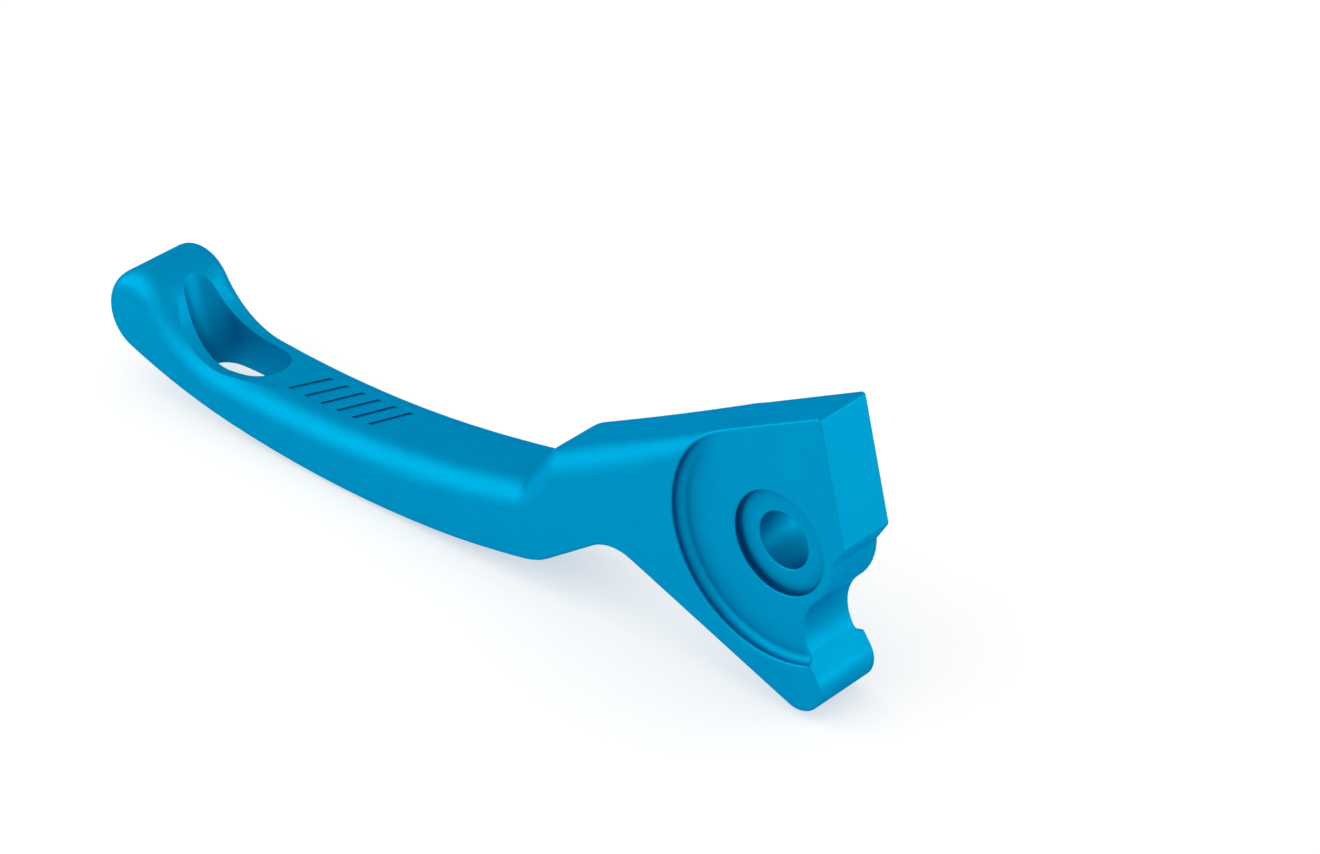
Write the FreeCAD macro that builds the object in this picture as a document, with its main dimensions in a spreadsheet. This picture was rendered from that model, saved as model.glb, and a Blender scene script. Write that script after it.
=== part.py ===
"""Hand lever for a motorcycle clutch, machined from one piece of aluminium.

Frame: millimetres, +Z up. The origin is the middle of the pivot bore, on the lever's plane of
symmetry. +Y is the bore's axis. The lever swings in the XZ plane: the blade runs along -X to its
tip, the head lies round the origin, and +Z is the side that the fingers pull.
"""
import FreeCAD, Part
import math
import os
import Sketcher

Vector = FreeCAD.Vector

# Driving dimensions, written to the sheet: alias, value, meaning.
DIMENSIONS = (
    ("bore_radius", 4.5, "pivot bore"),
    ("seat_radius", 8.2, "counterbore round the bore"),
    ("seat_depth", 1.1, "depth of the counterbore below the recessed face"),
    ("pivot_thickness", 10.0, "head between its two recessed faces"),
    ("recess_radius", 18.45, "edge of the round recess in each side of the head"),
    ("recess_corner", 1.3, "round between the recess floor and its wall"),
    ("recess_exit", 134.0, "degrees round the bore where the wall runs out of the upper edge"),
    ("blade_width", 16.0, "lever along the bore's axis, from the blade to the tip"),
    ("flank_taper", 1.432, "degrees that each flank turns in towards the head"),
    ("taper_start", -66.0, "x where the flanks begin to turn in"),
    ("taper_bend", 12.0, "length over which they turn"),
    ("head_x", 6.94, "upper corner of the head"),
    ("head_z", 23.58, "upper corner of the head"),
    ("top_angle", 27.4, "degrees, slope of the head's upper edge"),
    ("end_angle", 76.06, "degrees, slope of the head's end face"),
    ("end_foot", 3.78, "height where the end face stops"),
    ("step_angle", 58.6, "degrees, slope of the step under the end face"),
    ("head_corner", 0.6, "round on the corners of the end face"),
    ("neck_radius", 9.85, "wall round the bore, above the notch"),
    ("notch_radius", 7.2, "half-round notch for the push piece"),
    ("notch_x", 12.05, "centre of the notch"),
    ("lobe_radius", 4.12, "rounded end of the push lobe"),
    ("lobe_x", 4.95, "centre of the lobe"),
    ("lobe_z", -21.43, "centre of the lobe"),
    ("crest_radius", 8.0, "hollow under the head"),
    ("crest_x", -29.22, "centre of the hollow"),
    ("crest_z", -20.94, "centre of the hollow"),
    ("shoulder_angle", 34.88, "degrees, slope from the hollow down to the blade"),
    ("shoulder_radius", 13.0, "round between that slope and the blade"),
    ("back_radius", 201.07, "bow of the blade's back"),
    ("back_x", -86.71, "centre of that bow"),
    ("back_z", 174.73, "centre of that bow"),
    ("back_end", -110.0, "x where the back starts to close towards the tip"),
    ("nose_radius", 6.9, "rounded tip"),
    ("nose_x", -130.5, "centre of the tip"),
    ("nose_z", -13.2, "centre of the tip"),
    ("hook_angle", 56.0, "degrees, slope of the tip's inner side"),
    ("hook_radius", 14.0, "finger hollow at the tip, before its final cut"),
    ("hollow_angle", 59.6, "degrees, slope of the tip's inner side after that cut"),
    ("hollow_radius", 11.9, "finger hollow after that cut"),
    ("runout_x", -102.0, "x where that cut runs out of the front"),
    ("runout_angle", 3.3, "degrees, slope at which it runs out"),
    ("front_radius", 210.37, "bow of the blade's front"),
    ("front_x", -101.34, "centre of that bow"),
    ("front_z", 193.53, "centre of that bow"),
    ("kink_radius", 2.0, "tool radius where the front meets the ramp up to the head"),
    ("kink_x", -50.3, "centre of that tool radius"),
    ("ramp_angle", 53.0, "degrees, slope of the ramp"),
    ("ramp_radius", 6.0, "round between the ramp and the upper edge"),
    ("fade_start", -36.0, "x where the large edge round starts to shrink"),
    ("fade_middle", -14.0, "x where it has shrunk most of the way"),
    ("edge_round", 3.9, "round along the blade's two front edges"),
    ("edge_middle", 2.4, "the same round at fade_middle"),
    ("edge_break", 0.5, "small round on the other edges"),
    ("head_break", 0.35, "small round on the edges of the recessed faces"),
    ("rim_break", 0.15, "chamfer on the bore and the counterbores"),
    ("window_x", -113.0, "point on the window's axis, near the blade's back"),
    ("window_z", -24.0, "point on the window's axis"),
    ("window_lean", 16.3, "degrees that the axis leans towards the tip, going up"),
    ("window_reach", 8.27, "from the axis to the window's end nearest the tip"),
    ("window_back", 8.64, "from the axis to its other end"),
    ("window_tip_radius", 4.09, "round of the end nearest the tip"),
    ("window_end_radius", 4.71, "round of its other end"),
    ("window_side_radius", 18.6, "bow of its long sides"),
    ("window_break", 0.3, "round on the window's rim in the back"),
    ("mark_start", -101.5, "x of the first engraved stroke"),
    ("mark_pitch", 3.5, "distance between strokes"),
    ("mark_width", 1.0, "width of a stroke"),
    ("mark_length", 6.4, "length of a stroke"),
    ("mark_lean", 24.0, "degrees that a stroke leans"),
    ("mark_depth", 0.2, "depth of the engraving"),
    ("mark_count", 6, "strokes"),
    ("spare", 20.0, "how far a cutter reaches past the lever"),
)

VALUES = {alias: value for alias, value, meaning in DIMENSIONS}

# Distances from the middle plane between which the outline's own edges lie.
OUTER = (2.0, 20.0)

# Curves of the side outline that carry the large edge round, from the tip to the head.
FRONT = ("nose", "hook_line", "hook", "front", "kink", "ramp", "ramp_top",
         "top_full", "top_fade", "top_end")
# Curves that carry the small one.
BACK = ("closing", "back", "shoulder_round", "shoulder", "crest", "head_line", "lobe",
        "notch_line", "notch")


def polar(centre, radius, degrees):
    """Point at this radius and angle from the centre."""
    angle = math.radians(degrees)
    return (centre[0] + radius * math.cos(angle), centre[1] + radius * math.sin(angle))


def bearing(start, end):
    """Angle in degrees from one point to another."""
    return math.degrees(math.atan2(end[1] - start[1], end[0] - start[0]))


def crossing_angle(first, first_radius, second, second_radius, side):
    """Angle on the first circle where a line that crosses between the two circles touches it."""
    gap = math.dist(first, second)
    spread = math.degrees(math.acos((first_radius + second_radius) / gap))
    return bearing(first, second) + side * spread


def inside_circle(start, heading, centre, radius):
    """Distance from the start, along the heading, to the nearer crossing with a circle."""
    way = (math.cos(math.radians(heading)), math.sin(math.radians(heading)))
    offset = (start[0] - centre[0], start[1] - centre[1])
    along = offset[0] * way[0] + offset[1] * way[1]
    excess = offset[0] ** 2 + offset[1] ** 2 - radius ** 2
    root = math.sqrt(along ** 2 - excess)
    return min((t for t in (-along - root, -along + root) if t > 0))


def meet(first, first_heading, second, second_heading):
    """Point where two lines meet, each given by a point and a heading in degrees."""
    a = (math.cos(math.radians(first_heading)), math.sin(math.radians(first_heading)))
    b = (math.cos(math.radians(second_heading)), math.sin(math.radians(second_heading)))
    gap = (second[0] - first[0], second[1] - first[1])
    distance = (gap[0] * b[1] - gap[1] * b[0]) / (a[0] * b[1] - a[1] * b[0])
    return (first[0] + distance * a[0], first[1] + distance * a[1])


def line(start, end):
    return ("line", start, end)


def arc(centre, radius, first, last, turn):
    """Arc from the first angle to the last, anticlockwise when turn is 1, clockwise when -1."""
    sweep = turn * (last - first) % 360
    return ("arc", centre, radius, first, first + turn * sweep, turn)


def hook_centre(v):
    """Centre of the round between the tip's inner side and the blade's front, before the cut."""
    slope = -v["hook_angle"]
    radius = v["hook_radius"]
    touch = polar((v["nose_x"], v["nose_z"]), v["nose_radius"] + radius, 90 + slope)
    front = (v["front_x"], v["front_z"])
    # The centre slides along the tip's inner side until it lies inside the front's bow.
    reach = v["front_radius"] - radius
    way = (math.cos(math.radians(slope)), math.sin(math.radians(slope)))
    offset = (touch[0] - front[0], touch[1] - front[1])
    along = offset[0] * way[0] + offset[1] * way[1]
    excess = offset[0] ** 2 + offset[1] ** 2 - reach ** 2
    slide = -along + math.sqrt(along ** 2 - excess)
    return (touch[0] + slide * way[0], touch[1] + slide * way[1])


def outline_curves(v):
    """Start values of the side outline, clockwise from the head's upper corner."""
    corner = (v["head_x"], v["head_z"])
    drop = v["head_z"] - v["end_foot"]
    foot = (v["head_x"] + drop / math.tan(math.radians(v["end_angle"])), v["end_foot"])
    origin = (0.0, 0.0)
    step = inside_circle(foot, 180 + v["step_angle"], origin, v["neck_radius"])
    inner = polar(foot, step, 180 + v["step_angle"])
    reach = v["neck_radius"] + v["notch_radius"]
    notch = (v["notch_x"], -math.sqrt(reach ** 2 - v["notch_x"] ** 2))
    lobe = (v["lobe_x"], v["lobe_z"])
    crest = (v["crest_x"], v["crest_z"])
    notch_out = crossing_angle(notch, v["notch_radius"], lobe, v["lobe_radius"], -1)
    lobe_out = crossing_angle(lobe, v["lobe_radius"], crest, v["crest_radius"], 1)
    crest_out = 90 + v["shoulder_angle"]
    slope_start = polar(crest, v["crest_radius"], crest_out)

    back = (v["back_x"], v["back_z"])
    offset_start = polar(slope_start, v["shoulder_radius"], crest_out)
    heading = 180 + v["shoulder_angle"]
    slide = inside_circle(offset_start, heading, back, v["back_radius"] - v["shoulder_radius"])
    shoulder = polar(offset_start, slide, heading)
    slope_end = polar(slope_start, slide, heading)
    shoulder_out = bearing(back, shoulder)
    back_fall = math.sqrt(v["back_radius"] ** 2 - (v["back_end"] - v["back_x"]) ** 2)
    back_last = (v["back_end"], v["back_z"] - back_fall)
    back_out = bearing(back, back_last)

    nose = (v["nose_x"], v["nose_z"])
    outward = polar(origin, 1.0, back_out)
    gap = (back_last[0] - nose[0], back_last[1] - nose[1])
    lead = outward[0] * gap[0] + outward[1] * gap[1] - v["nose_radius"]
    closing_radius = (gap[0] ** 2 + gap[1] ** 2 - v["nose_radius"] ** 2) / (2 * lead)
    closing = polar(back_last, -closing_radius, back_out)
    closing_out = bearing(closing, nose)
    nose_out = 90 - v["hook_angle"]

    front = (v["front_x"], v["front_z"])
    hook = hook_centre(v)
    hook_in = 180 + nose_out
    hook_out = bearing(front, hook)
    kink_reach = v["front_radius"] - v["kink_radius"]
    kink_fall = math.sqrt(kink_reach ** 2 - (v["kink_x"] - v["front_x"]) ** 2)
    kink = (v["kink_x"], v["front_z"] - kink_fall)
    kink_in = bearing(front, kink)
    kink_out = v["ramp_angle"] - 90
    ramp_start = polar(kink, v["kink_radius"], kink_out)
    inner_ramp = polar(ramp_start, v["ramp_radius"], kink_out)
    inner_corner = polar(corner, v["ramp_radius"], v["top_angle"] - 90)
    ramp_top = meet(inner_ramp, v["ramp_angle"], inner_corner, v["top_angle"])
    top_start = polar(ramp_top, v["ramp_radius"], 90 + v["top_angle"])
    grade = math.tan(math.radians(v["top_angle"]))
    fade_start = (v["fade_start"], v["head_z"] + grade * (v["fade_start"] - v["head_x"]))
    fade_middle = (v["fade_middle"], v["head_z"] + grade * (v["fade_middle"] - v["head_x"]))

    return {
        "end": line(corner, foot),
        "step": line(foot, inner),
        "neck": arc(origin, v["neck_radius"], bearing(origin, inner), bearing(origin, notch), -1),
        "notch": arc(notch, v["notch_radius"], bearing(notch, origin), notch_out, 1),
        "notch_line": line(polar(notch, v["notch_radius"], notch_out),
                           polar(lobe, v["lobe_radius"], notch_out - 180)),
        "lobe": arc(lobe, v["lobe_radius"], notch_out - 180, lobe_out, -1),
        "head_line": line(polar(lobe, v["lobe_radius"], lobe_out),
                          polar(crest, v["crest_radius"], lobe_out - 180)),
        "crest": arc(crest, v["crest_radius"], lobe_out - 180, crest_out, 1),
        "shoulder": line(slope_start, slope_end),
        "shoulder_round": arc(shoulder, v["shoulder_radius"], crest_out + 180, shoulder_out, -1),
        "back": arc(back, v["back_radius"], shoulder_out, back_out, -1),
        "closing": arc(closing, closing_radius, back_out, closing_out, -1),
        "nose": arc(nose, v["nose_radius"], closing_out, nose_out, -1),
        "hook_line": line(polar(nose, v["nose_radius"], nose_out),
                          polar(hook, v["hook_radius"], hook_in)),
        "hook": arc(hook, v["hook_radius"], hook_in, hook_out, 1),
        "front": arc(front, v["front_radius"], hook_out, kink_in, 1),
        "kink": arc(kink, v["kink_radius"], kink_in, kink_out, 1),
        "ramp": line(ramp_start, polar(ramp_top, v["ramp_radius"], 90 + v["ramp_angle"])),
        "ramp_top": arc(ramp_top, v["ramp_radius"], 90 + v["ramp_angle"],
                        90 + v["top_angle"], -1),
        "top_full": line(top_start, fade_start),
        "top_fade": line(fade_start, fade_middle),
        "top_end": line(fade_middle, corner),
    }


class Drawing:
    """A sketch in a body, with helpers that bind its constraints to the sheet."""

    def __init__(self, body, label, plane):
        self.sketch = body.newObject("Sketcher::SketchObject", label)
        origin = body.Origin.OriginFeatures
        support = next(item for item in origin if item.Role == plane)
        self.sketch.AttachmentSupport = [(support, "")]
        self.sketch.MapMode = "FlatFace"
        self.numbers = {}
        self.ends = {}

    def curve(self, name, data):
        """Add a line or an arc. Its ends are kept in the order of travel."""
        if data[0] == "line":
            shape = Part.LineSegment(Vector(*data[1], 0), Vector(*data[2], 0))
            self.ends[name] = (1, 2)
        else:
            kind, centre, radius, first, last, turn = data
            circle = Part.Circle(Vector(*centre, 0), Vector(0, 0, 1), radius)
            low, high = sorted((math.radians(first), math.radians(last)))
            shape = Part.ArcOfCircle(circle, low, high)
            self.ends[name] = (1, 2) if turn > 0 else (2, 1)
        self.numbers[name] = self.sketch.addGeometry(shape, False)

    def chain(self, curves, sharp):
        """Add curves end to end in a closed loop, tangent except after the sharp ones."""
        for name, data in curves.items():
            self.curve(name, data)
        names = list(curves)
        for name, following in zip(names, names[1:] + names[:1]):
            kind = "Coincident" if name in sharp else "Tangent"
            self.add(kind, self.numbers[name], self.ends[name][1],
                     self.numbers[following], self.ends[following][0])

    def add(self, *constraint):
        return self.sketch.addConstraint(Sketcher.Constraint(*constraint))

    def bind(self, number, expression):
        self.sketch.setExpression(f"Constraints[{number}]", expression)

    def radius(self, name, expression, value):
        self.bind(self.add("Radius", self.numbers[name], value), expression)

    def place(self, name, spot, x=None, y=None):
        """Hold a point of a curve. Each of x and y is an expression and its start value."""
        for kind, wanted in (("DistanceX", x), ("DistanceY", y)):
            if wanted:
                number = self.add(kind, -1, 1, self.numbers[name], spot, wanted[1])
                self.bind(number, wanted[0])

    def slope(self, name, expression, degrees):
        number = self.add("Angle", self.numbers[name], math.radians(degrees))
        self.bind(number, expression)


def dim(alias):
    """Expression and start value of one driving dimension."""
    return (f"dims.{alias}", VALUES[alias])


def add_sheet(doc):
    sheet = doc.addObject("Spreadsheet::Sheet", "dims")
    for row, (alias, value, meaning) in enumerate(DIMENSIONS, start=1):
        sheet.set(f"A{row}", meaning)
        sheet.set(f"B{row}", str(value))
        sheet.setAlias(f"B{row}", alias)
    doc.recompute()


def add_side(doc):
    """Prism with the lever's side outline."""
    body = doc.addObject("PartDesign::Body", "side")
    drawing = Drawing(body, "side_outline", "XZ_Plane")
    drawing.chain(outline_curves(VALUES), ("top_end", "end", "step"))
    drawing.add("Coincident", drawing.numbers["neck"], 3, -1, 1)
    for name, alias in (("neck", "neck_radius"), ("notch", "notch_radius"),
                        ("lobe", "lobe_radius"), ("crest", "crest_radius"),
                        ("shoulder_round", "shoulder_radius"), ("back", "back_radius"),
                        ("nose", "nose_radius"), ("hook", "hook_radius"),
                        ("front", "front_radius"), ("kink", "kink_radius"),
                        ("ramp_top", "ramp_radius")):
        drawing.radius(name, *dim(alias))
    for name in ("lobe", "crest", "back", "nose", "front"):
        drawing.place(name, 3, dim(f"{name}_x"), dim(f"{name}_z"))
    drawing.place("notch", 3, dim("notch_x"))
    drawing.place("kink", 3, dim("kink_x"))
    drawing.place("end", 1, dim("head_x"), dim("head_z"))
    drawing.place("end", 2, None, dim("end_foot"))
    drawing.place("back", drawing.ends["back"][1], dim("back_end"))
    drawing.place("top_fade", 1, dim("fade_start"))
    drawing.place("top_fade", 2, dim("fade_middle"))
    drawing.slope("top_end", *dim("top_angle"))
    drawing.slope("ramp", *dim("ramp_angle"))
    drawing.slope("end", "-dims.end_angle", -VALUES["end_angle"])
    drawing.slope("hook_line", "-dims.hook_angle", -VALUES["hook_angle"])
    drawing.slope("step", "dims.step_angle - 180", VALUES["step_angle"] - 180)
    drawing.slope("shoulder", "dims.shoulder_angle - 180", VALUES["shoulder_angle"] - 180)
    pad = body.newObject("PartDesign::Pad", "side_pad")
    pad.Profile = drawing.sketch
    pad.SideType = "Symmetric"
    pad.setExpression("Length", "dims.blade_width + dims.spare")
    pad.Refine = False
    return body, drawing


def add_plan(doc):
    """Prism with the outline seen along Z: straight flanks that turn in towards the head."""
    body = doc.addObject("PartDesign::Body", "plan")
    drawing = Drawing(body, "plan_outline", "XY_Plane")
    v = VALUES
    half = v["blade_width"] / 2
    grade = math.tan(math.radians(v["flank_taper"]))
    bend = v["taper_bend"] / 2 / math.tan(math.radians(v["flank_taper"] / 2))
    left = v["nose_x"] - v["spare"]
    right = v["head_x"] + v["spare"]
    start = (v["taper_start"], half)
    turned = polar((start[0], half - bend), bend, 90 - v["flank_taper"])
    end = (right, turned[1] - grade * (right - turned[0]))
    drawing.chain({
        "flank": line((left, half), start),
        "bend": arc((start[0], half - bend), bend, 90, 90 - v["flank_taper"], -1),
        "taper": line(turned, end),
        "head_end": line(end, (right, -end[1])),
        "other_taper": line((right, -end[1]), (turned[0], -turned[1])),
        "other_bend": arc((start[0], bend - half), bend, v["flank_taper"] - 90, -90, -1),
        "other_flank": line((start[0], -half), (left, -half)),
        "tip_end": line((left, -half), (left, half)),
    }, ("taper", "head_end", "other_flank", "tip_end"))
    number = drawing.numbers
    drawing.add("Equal", number["bend"], number["other_bend"])
    drawing.add("Equal", number["flank"], number["other_flank"])
    drawing.add("Symmetric", number["flank"], 1, number["other_flank"], 2, -1)
    drawing.add("Symmetric", number["taper"], 2, number["other_taper"], 1, -1)
    drawing.add("Horizontal", number["flank"])
    drawing.add("Horizontal", number["other_flank"])
    drawing.place("flank", 2, dim("taper_start"), ("dims.blade_width / 2", half))
    drawing.place("flank", 1, ("dims.nose_x - dims.spare", left))
    drawing.place("taper", 2, ("dims.head_x + dims.spare", right))
    drawing.radius("bend", "dims.taper_bend / 2 / tan(dims.flank_taper * 0.5 deg)", bend)
    drawing.slope("taper", "-dims.flank_taper", -v["flank_taper"])
    pad = body.newObject("PartDesign::Pad", "plan_pad")
    pad.Profile = drawing.sketch
    pad.SideType = "Symmetric"
    pad.setExpression("Length", "dims.spare * 4")
    pad.Refine = False
    return body


def add_hook_cutter(doc):
    """Prism that takes the finger hollow at the tip to its final depth.

    It runs out of the blade's front at a shallow angle.
    """
    v = VALUES
    lean = 90 - v["hollow_angle"]
    rise = v["runout_angle"]
    radius = v["hollow_radius"]
    start = polar((v["nose_x"], v["nose_z"]), v["nose_radius"], lean)
    fall = math.sqrt(v["front_radius"] ** 2 - (v["runout_x"] - v["front_x"]) ** 2)
    runout = (v["runout_x"], v["front_z"] - fall)
    hollow = meet(polar(start, radius, lean), -v["hollow_angle"],
                  polar(runout, radius, 90 + rise), rise)
    reach = v["spare"] / 2
    last = (runout[0] + reach, runout[1] + reach * math.tan(math.radians(rise)))
    high = v["nose_z"] + v["spare"]
    outside = polar(start, v["spare"], lean)
    body = doc.addObject("PartDesign::Body", "hook_cutter")
    drawing = Drawing(body, "hook_outline", "XZ_Plane")
    drawing.chain({
        "slope": line(start, polar(hollow, radius, lean + 180)),
        "hollow": arc(hollow, radius, lean + 180, rise - 90, 1),
        "runout": line(polar(hollow, radius, rise - 90), last),
        "rise": line(last, (last[0], high)),
        "lid": line((last[0], high), outside),
        "return": line(outside, start),
    }, ("runout", "rise", "lid", "return"))
    number = drawing.numbers
    drawing.add("Vertical", number["rise"])
    drawing.add("Perpendicular", number["slope"], number["return"])
    drawing.slope("slope", "-dims.hollow_angle", -v["hollow_angle"])
    drawing.slope("runout", *dim("runout_angle"))
    drawing.radius("hollow", *dim("hollow_radius"))
    across = "dims.nose_radius * sin(dims.hollow_angle * 1 deg)"
    up = "dims.nose_radius * cos(dims.hollow_angle * 1 deg)"
    drawing.place("slope", 1, (f"dims.nose_x + {across}", start[0]),
                  (f"dims.nose_z + {up}", start[1]))
    drop = "sqrt(dims.front_radius ^ 2 - (dims.runout_x - dims.front_x) ^ 2)"
    climb = "dims.spare / 2 * tan(dims.runout_angle * 1 deg)"
    drawing.place("rise", 1, ("dims.runout_x + dims.spare / 2", last[0]),
                  (f"dims.front_z - {drop} + {climb}", last[1]))
    drawing.place("rise", 2, None, ("dims.nose_z + dims.spare", high))
    drawing.bind(drawing.add("Distance", number["return"], v["spare"]), "dims.spare")
    pad = body.newObject("PartDesign::Pad", "hook_pad")
    pad.Profile = drawing.sketch
    pad.SideType = "Symmetric"
    pad.setExpression("Length", "dims.blade_width + dims.spare")
    return body


def add_recess_cutter(doc):
    """Cutter for one side of the head, as a bull-nosed tool leaves it.

    Its wall is a round about the bore. At the upper edge the tool runs straight out.
    """
    v = VALUES
    radius = v["recess_radius"]
    exit_angle = v["recess_exit"]
    low = -60.0
    start = polar((0, 0), radius, low)
    leave = polar((0, 0), radius, exit_angle)
    outside = polar(leave, 2 * radius, exit_angle - 90)
    right = v["head_x"] + radius
    body = doc.addObject("PartDesign::Body", "recess_cutter")
    drawing = Drawing(body, "recess_outline", "XZ_Plane")
    drawing.sketch.setExpression("AttachmentOffset.Base.z", "-dims.pivot_thickness / 2")
    drawing.chain({
        "wall": arc((0, 0), radius, low, exit_angle, -1),
        "exit": line(leave, outside),
        "lid": line(outside, (right, outside[1])),
        "side": line((right, outside[1]), (right, start[1])),
        "foot": line((right, start[1]), start),
    }, ("exit", "lid", "side", "foot"))
    number = drawing.numbers
    drawing.add("Coincident", number["wall"], 3, -1, 1)
    drawing.add("Horizontal", number["lid"])
    drawing.add("Vertical", number["side"])
    drawing.add("Horizontal", number["foot"])
    drawing.radius("wall", *dim("recess_radius"))
    drawing.slope("exit", "dims.recess_exit - 90", exit_angle - 90)
    drawing.place("exit", 2, None, ("dims.head_z + dims.recess_radius", outside[1]))
    drawing.place("side", 1, ("dims.head_x + dims.recess_radius", right))
    drawing.place("foot", 2, (f"dims.recess_radius * cos({low} deg)", start[0]))
    pad = body.newObject("PartDesign::Pad", "recess_pad")
    pad.Profile = drawing.sketch
    pad.setExpression("Length", "dims.blade_width")
    pad.Reversed = True
    doc.recompute()
    wanted = []
    for name, edge in enumerate(body.Shape.Edges, start=1):
        point, away = flat_middle(edge)
        deepest = abs(away - v["pivot_thickness"] / 2) < 1e-6
        if deepest and (point.x < 0 or edge.Curve.TypeId == "Part::GeomCircle"):
            wanted.append(f"Edge{name}")
    corner = body.newObject("PartDesign::Fillet", "recess_round")
    corner.Base = (pad, wanted)
    corner.setExpression("Radius", "dims.recess_corner")
    return body


def add_cylinder(doc, label, radius, bottom, height):
    """Cylinder round the bore's axis. Radius, bottom and height are expressions."""
    cylinder = doc.addObject("Part::Cylinder", label)
    cylinder.Placement = FreeCAD.Placement(Vector(), FreeCAD.Rotation(Vector(1, 0, 0), -90))
    cylinder.setExpression("Radius", radius)
    cylinder.setExpression("Height", height)
    cylinder.setExpression("Placement.Base.y", bottom)
    return cylinder


def add_window_cutter(doc):
    """Leaning prism for the window through the tip end of the blade."""
    v = VALUES
    tip_radius = v["window_tip_radius"]
    end_radius = v["window_end_radius"]
    bow = v["window_side_radius"]
    tip = (tip_radius - v["window_reach"], 0.0)
    end = (v["window_back"] - end_radius, 0.0)
    gap = end[0] - tip[0]
    along = ((bow - tip_radius) ** 2 - (bow - end_radius) ** 2 + gap ** 2) / (2 * gap)
    deep = math.sqrt((bow - tip_radius) ** 2 - along ** 2)
    side = (tip[0] + along, -deep)
    other = (side[0], deep)
    tip_turn = bearing(side, tip)
    end_turn = bearing(side, end)
    body = doc.addObject("PartDesign::Body", "window_cutter")
    body.Placement.Rotation = FreeCAD.Rotation(Vector(0, -1, 0), v["window_lean"])
    body.setExpression("Placement.Base.x", "dims.window_x")
    body.setExpression("Placement.Base.z", "dims.window_z")
    body.setExpression("Placement.Rotation.Angle", "dims.window_lean * 1 deg")
    drawing = Drawing(body, "window_outline", "XY_Plane")
    drawing.chain({
        "tip": arc(tip, tip_radius, -tip_turn, tip_turn, -1),
        "side": arc(side, bow, tip_turn, end_turn, -1),
        "end": arc(end, end_radius, end_turn, -end_turn, -1),
        "other_side": arc(other, bow, -end_turn, -tip_turn, -1),
    }, ())
    number = drawing.numbers
    drawing.add("Equal", number["side"], number["other_side"])
    drawing.add("PointOnObject", number["tip"], 3, -1)
    drawing.add("PointOnObject", number["end"], 3, -1)
    drawing.radius("tip", *dim("window_tip_radius"))
    drawing.radius("end", *dim("window_end_radius"))
    drawing.radius("side", *dim("window_side_radius"))
    drawing.place("tip", 3, ("dims.window_tip_radius - dims.window_reach", tip[0]))
    drawing.place("end", 3, ("dims.window_back - dims.window_end_radius", end[0]))
    pad = body.newObject("PartDesign::Pad", "window_pad")
    pad.Profile = drawing.sketch
    pad.SideType = "Symmetric"
    pad.setExpression("Length", "dims.spare * 4")
    return body


def add_marks(doc):
    """Cutter for a row of plain slanted strokes, engraved to an even depth in the front."""
    v = VALUES
    shift = v["mark_length"] * math.tan(math.radians(v["mark_lean"]))
    low = -v["mark_length"] / 2
    left = v["mark_start"]
    right = left + v["mark_width"]
    strokes = doc.addObject("PartDesign::Body", "strokes")
    drawing = Drawing(strokes, "stroke_outline", "XY_Plane")
    drawing.chain({
        "foot": line((right, low), (left, low)),
        "rise": line((left, low), (left + shift, -low)),
        "head": line((left + shift, -low), (right + shift, -low)),
        "fall": line((right + shift, -low), (right, low)),
    }, ("foot", "rise", "head", "fall"))
    number = drawing.numbers
    drawing.add("Horizontal", number["foot"])
    drawing.add("Horizontal", number["head"])
    drawing.add("Parallel", number["rise"], number["fall"])
    drawing.place("foot", 2, dim("mark_start"), ("-dims.mark_length / 2", low))
    drawing.place("head", 1, None, ("dims.mark_length / 2", -low))
    drawing.place("foot", 1, ("dims.mark_start + dims.mark_width", right))
    drawing.slope("rise", "90 - dims.mark_lean", 90 - v["mark_lean"])
    pad = strokes.newObject("PartDesign::Pad", "stroke_pad")
    pad.Profile = drawing.sketch
    pad.SideType = "Symmetric"
    pad.setExpression("Length", "dims.spare * 4")
    row = strokes.newObject("PartDesign::LinearPattern", "stroke_row")
    row.Originals = [pad]
    row.Direction = (drawing.sketch, ["H_Axis"])
    row.setExpression("Occurrences", "dims.mark_count")
    row.setExpression("Length", "dims.mark_pitch * (dims.mark_count - 1)")
    strokes.Tip = row
    floor = doc.addObject("Part::Cylinder", "mark_floor")
    floor.Placement = FreeCAD.Placement(Vector(), FreeCAD.Rotation(Vector(1, 0, 0), -90))
    floor.setExpression("Radius", "dims.front_radius + dims.mark_depth")
    floor.setExpression("Height", "dims.blade_width")
    floor.setExpression("Placement.Base.x", "dims.front_x")
    floor.setExpression("Placement.Base.y", "-dims.blade_width / 2")
    floor.setExpression("Placement.Base.z", "dims.front_z")
    marks = doc.addObject("Part::Common", "marks")
    marks.Base = strokes
    marks.Tool = floor
    return marks


def cut(doc, label, base, tool):
    feature = doc.addObject("Part::Cut", label)
    feature.Base = base
    feature.Tool = tool
    feature.Refine = False
    return feature


def flat_middle(edge):
    """Middle of an edge, moved onto the plane of symmetry, and its distance from that plane."""
    middle = edge.valueAt((edge.FirstParameter + edge.LastParameter) / 2)
    return Vector(middle.x, 0, middle.z), abs(middle.y)


def edges_over(shape, drawing, names, low, high):
    """Numbers of the edges over the named curves, at a distance from the middle plane."""
    curves = []
    for name in names:
        curve = drawing.sketch.Geometry[drawing.numbers[name]].toShape()
        curve.Placement = drawing.sketch.Placement
        curves.append(curve)
    found = []
    for number, edge in enumerate(shape.Edges, start=1):
        point, away = flat_middle(edge)
        if not low < away < high:
            continue
        spot = Part.Vertex(point)
        if min(curve.distToShape(spot)[0] for curve in curves) < 1e-3:
            found.append(number)
    return found


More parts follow.
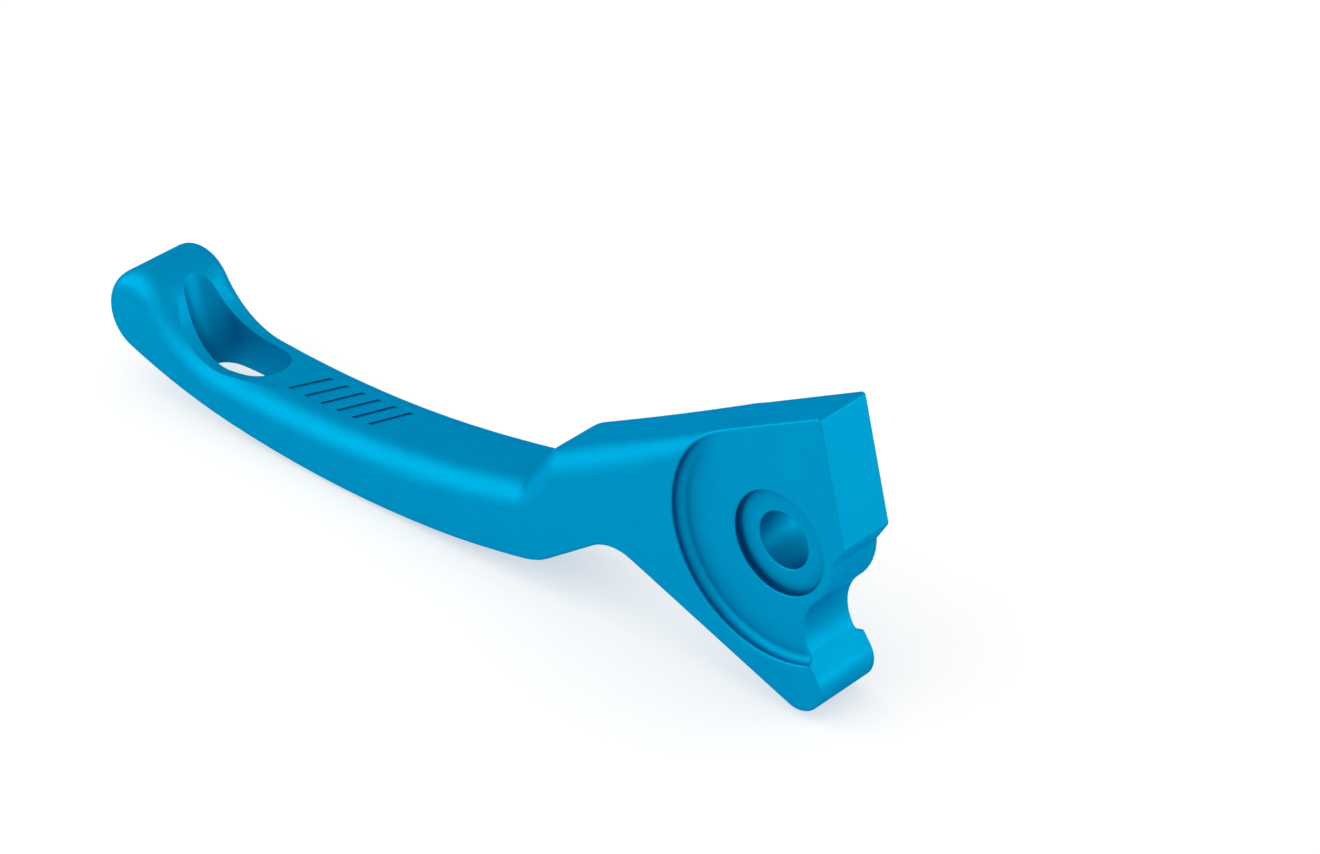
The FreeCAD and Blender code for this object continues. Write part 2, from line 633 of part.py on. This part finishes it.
def add_head_corners(doc, blank):
    """Rounds on the two corners of the end face."""
    v = VALUES
    curves = outline_curves(v)
    spots = [Vector(x, 0, z) for x, z in curves["end"][1:]]
    picked = []
    for number, edge in enumerate(blank.Shape.Edges, start=1):
        point, away = flat_middle(edge)
        if away < 1e-6 and min(point.distanceToPoint(spot) for spot in spots) < 1e-3:
            picked.append(number)
    corners = doc.addObject("Part::Fillet", "head_corners")
    corners.Base = blank
    corners.Edges = [(number, v["head_corner"], v["head_corner"]) for number in picked]
    return corners


def large_round_at(x):
    """Radius of the large edge round at an end of one of its edges."""
    v = VALUES
    if x > 0 or x < v["nose_x"]:
        return v["edge_break"]
    if abs(x - v["fade_middle"]) < 0.01:
        return v["edge_middle"]
    return v["edge_round"]


def add_edge_rounds(doc, base, drawing):
    """Large rounds along the front edges, running out into small ones on the others."""
    shape = base.Shape
    rows = []
    for side in (1, -1):
        chain = []
        for number in edges_over(shape, drawing, FRONT, *OUTER):
            edge = shape.Edges[number - 1]
            start = edge.valueAt(edge.FirstParameter)
            end = edge.valueAt(edge.LastParameter)
            if start.y * side > 0:
                chain.append((number, start.x, end.x))
        # The radii of a whole chain are read in the direction of its first edge.
        forward = chain[0][2] > chain[0][1]
        for number, first, last in chain:
            low, high = sorted((first, last))
            radii = (large_round_at(low), large_round_at(high))
            rows.append((number, *(radii if forward else radii[::-1])))
    small = VALUES["edge_break"]
    rows += [(number, small, small) for number in edges_over(shape, drawing, BACK, *OUTER)]
    rounds = doc.addObject("Part::Fillet", "edge_rounds")
    rounds.Base = base
    rounds.Edges = rows
    return rounds


def add_head_edges(doc, base, drawing):
    """Small rounds where the recessed faces meet the outside of the head."""
    v = VALUES
    floor = v["pivot_thickness"] / 2
    names = ("top_end", "top_fade", "end", "step", "neck", "notch")
    picked = edges_over(base.Shape, drawing, names, floor - 1e-4, floor + 1e-4)
    rounds = doc.addObject("Part::Fillet", "head_edges")
    rounds.Base = base
    rounds.Edges = [(number, v["head_break"], v["head_break"]) for number in picked]
    return rounds


def add_window_edges(doc, base):
    """Small round on the window's rim in the blade's back."""
    v = VALUES
    picked = []
    for number, edge in enumerate(base.Shape.Edges, start=1):
        box = edge.BoundBox
        along = v["nose_x"] < box.XMin and box.XMax < v["window_x"] + 2 * v["window_back"]
        across = max(-box.YMin, box.YMax) < 0.4 * v["blade_width"]
        rim = box.XLength + box.YLength > 0.01
        if along and across and rim and box.ZMax < v["nose_z"] - v["nose_radius"]:
            picked.append(number)
    rounds = doc.addObject("Part::Fillet", "window_edges")
    rounds.Base = base
    rounds.Edges = [(number, v["window_break"], v["window_break"]) for number in picked]
    return rounds


def add_bore_edges(doc, base):
    """Chamfers on both ends of the bore and on the rims of the counterbores."""
    v = VALUES
    floor = v["pivot_thickness"] / 2
    picked = []
    for number, edge in enumerate(base.Shape.Edges, start=1):
        curve = edge.Curve
        if curve.TypeId != "Part::GeomCircle" or math.hypot(curve.Center.x, curve.Center.z) > 1e-6:
            continue
        bore = abs(curve.Radius - v["bore_radius"]) < 1e-6
        seat = abs(curve.Radius - v["seat_radius"]) < 1e-6
        if bore or (seat and abs(abs(curve.Center.y) - floor) < 1e-3):
            picked.append(number)
    chamfer = doc.addObject("Part::Chamfer", "lever")
    chamfer.Base = base
    chamfer.Edges = [(number, v["rim_break"], v["rim_break"]) for number in picked]
    return chamfer


def settle(doc):
    """Recompute, and stop on any object that failed."""
    doc.recompute()
    for item in doc.Objects:
        if "Invalid" in item.State or "Error" in item.State:
            raise RuntimeError(f"{item.Label}: {item.State}")
        shape = getattr(item, "Shape", None)
        if shape is not None and item.isDerivedFrom("Part::Feature"):
            if shape.isNull() or not shape.isValid():
                raise RuntimeError(f"{item.Label}: bad shape")


def add_lever(doc):
    """The whole lever, in the order in which it is machined."""
    side, drawing = add_side(doc)
    blank = doc.addObject("Part::Common", "blank")
    blank.Base = side
    blank.Tool = add_plan(doc)
    blank.Refine = False
    settle(doc)
    corners = add_head_corners(doc, blank)
    settle(doc)
    rounds = add_edge_rounds(doc, corners, drawing)
    hooked = cut(doc, "hooked", rounds, add_hook_cutter(doc))

    seat = add_cylinder(doc, "seat_cutter", "dims.seat_radius",
                        "dims.pivot_thickness / 2 - dims.seat_depth", "dims.blade_width")
    head = doc.addObject("Part::MultiFuse", "head_cutter")
    head.Shapes = [add_recess_cutter(doc), seat]
    other_head = doc.addObject("Part::Mirroring", "other_head_cutter")
    other_head.Source = head
    other_head.Normal = Vector(0, 1, 0)
    bore = add_cylinder(doc, "bore_cutter", "dims.bore_radius", "-dims.blade_width",
                        "dims.blade_width * 2")
    recessed = cut(doc, "recessed", hooked, head)
    recessed_twice = cut(doc, "recessed_twice", recessed, other_head)
    bored = cut(doc, "bored", recessed_twice, bore)
    settle(doc)
    head_edges = add_head_edges(doc, bored, drawing)

    windowed = cut(doc, "windowed", head_edges, add_window_cutter(doc))
    settle(doc)
    window_edges = add_window_edges(doc, windowed)
    engraved = cut(doc, "engraved", window_edges, add_marks(doc))
    settle(doc)
    lever = add_bore_edges(doc, engraved)
    settle(doc)
    return lever


def main():
    doc = FreeCAD.newDocument("lever")
    add_sheet(doc)
    lever = add_lever(doc)
    os.makedirs("parts", exist_ok=True)
    lever.Shape.exportStep("parts/lever.step")
    print("volume_mm3", round(lever.Shape.Volume, 1), "solids", len(lever.Shape.Solids))


main()
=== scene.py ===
"""Looks for the anodised aluminium hand lever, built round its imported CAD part.

Lengths are in metres in the part's own frame: the origin is the middle of the pivot bore, +Y is
the bore's axis, the blade runs along -X and its front faces +Z.
"""
import math

import bpy
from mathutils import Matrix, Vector


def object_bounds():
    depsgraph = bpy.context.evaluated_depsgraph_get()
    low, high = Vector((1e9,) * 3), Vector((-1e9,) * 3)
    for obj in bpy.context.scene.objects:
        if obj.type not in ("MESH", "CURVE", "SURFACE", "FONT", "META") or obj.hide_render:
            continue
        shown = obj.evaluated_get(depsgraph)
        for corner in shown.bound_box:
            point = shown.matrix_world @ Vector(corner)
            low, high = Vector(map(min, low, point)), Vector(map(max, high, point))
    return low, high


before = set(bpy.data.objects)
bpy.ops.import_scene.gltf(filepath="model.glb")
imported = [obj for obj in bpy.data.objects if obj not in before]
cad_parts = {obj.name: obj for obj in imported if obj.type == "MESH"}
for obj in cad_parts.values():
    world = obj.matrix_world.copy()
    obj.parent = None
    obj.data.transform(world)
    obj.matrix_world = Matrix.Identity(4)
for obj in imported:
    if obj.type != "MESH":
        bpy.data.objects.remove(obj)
cad_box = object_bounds()

# Camera: its viewing angle round the part in degrees, its lens in millimetres and its place.
AZIMUTH = 41.897
ELEVATION = 32.152
LENS = 122.55
SENSOR_WIDTH = 36.0
CAMERA = (0.3381, -0.4067, 0.3492)

# Colours of the anodised finish, with a paler blue painted on edges as a highlight and a near-black
# blue painted into crevices as shade.
BLUE = (0.0, 0.290, 0.535, 1.0)
DEEP_BLUE = (0.0, 0.275, 0.520, 1.0)
# Paler blue painted on edges as a highlight.
PAINTED_HIGHLIGHT_BLUE = (0.0, 0.38, 0.62, 1.0)
# Near-black blue painted into crevices as shade.
PAINTED_SHADE_BLUE = (0.0, 0.05, 0.17, 1.0)
GRAZING_TINT = (0.0, 0.55, 0.80, 1.0)

# Blasted grain and wider mottling, in cells per metre, with their levels of detail.
GRAIN = (7000.0, 2.0)
GRAIN_DEPTH = 0.00002
GRAIN_STRENGTH = 0.5
MOTTLE = (260.0, 4.0)
MOTTLE_COLOUR_RANGE = (0.35, 0.65)
MOTTLE_GLOSS_RANGE = (0.3, 0.7)
ROUGHNESS = (0.50, 0.57)

# Edges and crevices, which carry the painted edge highlight and the painted shade in crevices: how
# far each reaches, and the range of its measure that fades it in.
EDGE_WIDTH = 0.00015
EDGE_SAMPLES = 6
PAINTED_HIGHLIGHT_RANGE = (0.995, 0.86)
PAINTED_HIGHLIGHT_MIX = (0.0, 0.5)
PAINTED_SHADE_REACH = 0.006
PAINTED_SHADE_SAMPLES = 8
PAINTED_SHADE_RANGE = (0.96, 0.4)
PAINTED_SHADE_MIX = (0.0, 0.9)

# Floor: its width, its gap under the lever, its grey and its own glow, which keeps shadows faint.
FLOOR_WIDTH = 6.0
FLOOR_GAP = 0.0005
FLOOR_GREY = (0.5, 0.5, 0.5, 1.0)
FLOOR_ROUGHNESS = 0.9
FLOOR_SPECULAR = 0.2
FLOOR_GLOW = 0.5

# Studio: white surroundings, and soft boxes that face the middle of the lever from a distance.
WHITE = (1.0, 1.0, 1.0, 1.0)
WORLD_STRENGTH = 0.925
MIDDLE = Vector((-0.063, 0.0, 0.0))
BOX_DISTANCE = 0.9
BOX_COLOUR = (1.0, 1.0, 0.82)
SOFT_BOXES = (
    # name, direction, width and height, watts
    ("left_front", (-0.64, -0.66, 0.34), (1.6, 1.1), 7.2),
    ("right_back", (0.75, 0.64, 0.08), (1.0, 0.5), 3.1),
)


def add_camera():
    """Camera with a level horizon."""
    data = bpy.data.cameras.new("camera")
    data.lens = LENS
    data.sensor_width = SENSOR_WIDTH
    data.dof.use_dof = False
    camera = bpy.data.objects.new("camera", data)
    bpy.context.collection.objects.link(camera)
    camera.location = CAMERA
    tilt = math.pi / 2 - math.radians(ELEVATION)
    camera.rotation_euler = (tilt, 0.0, math.radians(AZIMUTH))
    bpy.context.scene.camera = camera


def new_material(name):
    """Material with an output and a Principled shader; gives back what is needed to build on it."""
    material = bpy.data.materials.new(name)
    material.use_nodes = True
    nodes = material.node_tree.nodes
    links = material.node_tree.links
    nodes.clear()
    output = nodes.new("ShaderNodeOutputMaterial")
    shader = nodes.new("ShaderNodeBsdfPrincipled")
    links.new(shader.outputs["BSDF"], output.inputs["Surface"])
    return material, nodes, links, shader


def noise(nodes, links, scale, detail):
    """Noise in the part's own coordinates."""
    place = nodes.new("ShaderNodeTexCoord")
    texture = nodes.new("ShaderNodeTexNoise")
    texture.inputs["Scale"].default_value = scale
    texture.inputs["Detail"].default_value = detail
    links.new(place.outputs["Object"], texture.inputs["Vector"])
    return texture.outputs["Fac"]


def spread(nodes, links, value, source, target):
    """Map a value from one range to another."""
    ramp = nodes.new("ShaderNodeMapRange")
    ramp.inputs["From Min"].default_value = source[0]
    ramp.inputs["From Max"].default_value = source[1]
    ramp.inputs["To Min"].default_value = target[0]
    ramp.inputs["To Max"].default_value = target[1]
    links.new(value, ramp.inputs["Value"])
    return ramp.outputs["Result"]


def blend(nodes, links, factor, first, second):
    """Mix two colours, each a value or a socket."""
    mix = nodes.new("ShaderNodeMix")
    mix.data_type = "RGBA"
    links.new(factor, mix.inputs["Factor"])
    for name, colour in (("A", first), ("B", second)):
        socket = next(item for item in mix.inputs if item.name == name and item.type == "RGBA")
        if isinstance(colour, tuple):
            socket.default_value = colour
        else:
            links.new(colour, socket)
    return next(item for item in mix.outputs if item.type == "RGBA")


def add_rounded_edges_and_painted_highlight(nodes, links):
    """Rounded normal, and a mask for the painted edge highlight, which rises where the rounded normal
    leaves the true one.
    """
    bevel = nodes.new("ShaderNodeBevel")
    bevel.samples = EDGE_SAMPLES
    bevel.inputs["Radius"].default_value = EDGE_WIDTH
    geometry = nodes.new("ShaderNodeNewGeometry")
    match = nodes.new("ShaderNodeVectorMath")
    match.operation = "DOT_PRODUCT"
    links.new(bevel.outputs["Normal"], match.inputs[0])
    links.new(geometry.outputs["Normal"], match.inputs[1])
    return bevel.outputs["Normal"], spread(nodes, links, match.outputs["Value"], PAINTED_HIGHLIGHT_RANGE, PAINTED_HIGHLIGHT_MIX)


def add_painted_shade_mask(nodes, links):
    """Mask for painted shade, which rises where the lever's own walls close in."""
    openness = nodes.new("ShaderNodeAmbientOcclusion")
    openness.samples = PAINTED_SHADE_SAMPLES
    openness.only_local = True
    openness.inputs["Distance"].default_value = PAINTED_SHADE_REACH
    return spread(nodes, links, openness.outputs["AO"], PAINTED_SHADE_RANGE, PAINTED_SHADE_MIX)


def anodised_material():
    """Blue satin anodising on blasted aluminium, with a painted highlight that makes its edges paler
    and painted shade that makes its crevices darker.
    """
    material, nodes, links, shader = new_material("anodised_blue")
    mottle = noise(nodes, links, *MOTTLE)
    grain = noise(nodes, links, *GRAIN)
    rounded_normal, painted_highlight = add_rounded_edges_and_painted_highlight(nodes, links)
    painted_shade = add_painted_shade_mask(nodes, links)

    patches = spread(nodes, links, mottle, MOTTLE_COLOUR_RANGE, (0.0, 1.0))
    body = blend(nodes, links, patches, DEEP_BLUE, BLUE)
    # Painted highlight: paler blue on the edges.
    with_painted_highlight = blend(nodes, links, painted_highlight, body, PAINTED_HIGHLIGHT_BLUE)
    # Painted shade: darker blue where the lever's own walls close in.
    links.new(blend(nodes, links, painted_shade, with_painted_highlight, PAINTED_SHADE_BLUE), shader.inputs["Base Color"])
    gloss = spread(nodes, links, mottle, MOTTLE_GLOSS_RANGE, ROUGHNESS)
    links.new(gloss, shader.inputs["Roughness"])
    shader.inputs["Metallic"].default_value = 1.0
    shader.inputs["Specular Tint"].default_value = GRAZING_TINT

    bump = nodes.new("ShaderNodeBump")
    bump.inputs["Strength"].default_value = GRAIN_STRENGTH
    bump.inputs["Distance"].default_value = GRAIN_DEPTH
    links.new(grain, bump.inputs["Height"])
    links.new(rounded_normal, bump.inputs["Normal"])
    links.new(bump.outputs["Normal"], shader.inputs["Normal"])
    return material


def add_floor():
    """Plain white floor just under the lever."""
    height = cad_box[0][2] - FLOOR_GAP
    bpy.ops.mesh.primitive_plane_add(size=FLOOR_WIDTH, location=(0.0, 0.0, height))
    floor = bpy.context.object
    floor.name = "floor"
    material, _, _, shader = new_material("floor_white")
    shader.inputs["Base Color"].default_value = FLOOR_GREY
    shader.inputs["Roughness"].default_value = FLOOR_ROUGHNESS
    shader.inputs["Specular IOR Level"].default_value = FLOOR_SPECULAR
    shader.inputs["Emission Color"].default_value = WHITE
    shader.inputs["Emission Strength"].default_value = FLOOR_GLOW
    floor.data.materials.append(material)


def add_soft_box(name, direction, size, watts):
    """Rectangular light that faces the middle of the lever."""
    data = bpy.data.lights.new(name, "AREA")
    data.shape = "RECTANGLE"
    data.size = size[0]
    data.size_y = size[1]
    data.energy = watts
    data.color = BOX_COLOUR
    light = bpy.data.objects.new(name, data)
    away = Vector(direction).normalized()
    light.location = MIDDLE + BOX_DISTANCE * away
    light.rotation_euler = away.to_track_quat("Z", "Y").to_euler()
    bpy.context.collection.objects.link(light)


def add_world():
    """Even white surroundings."""
    world = bpy.data.worlds.new("studio")
    world.use_nodes = True
    background = world.node_tree.nodes["Background"]
    background.inputs["Color"].default_value = WHITE
    background.inputs["Strength"].default_value = WORLD_STRENGTH
    bpy.context.scene.world = world


def main():
    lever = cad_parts["lever"]
    lever.data.materials.clear()
    lever.data.materials.append(anodised_material())
    add_floor()
    for box in SOFT_BOXES:
        add_soft_box(*box)
    add_world()
    add_camera()
    bpy.context.scene.view_settings.view_transform = "Standard"


main()
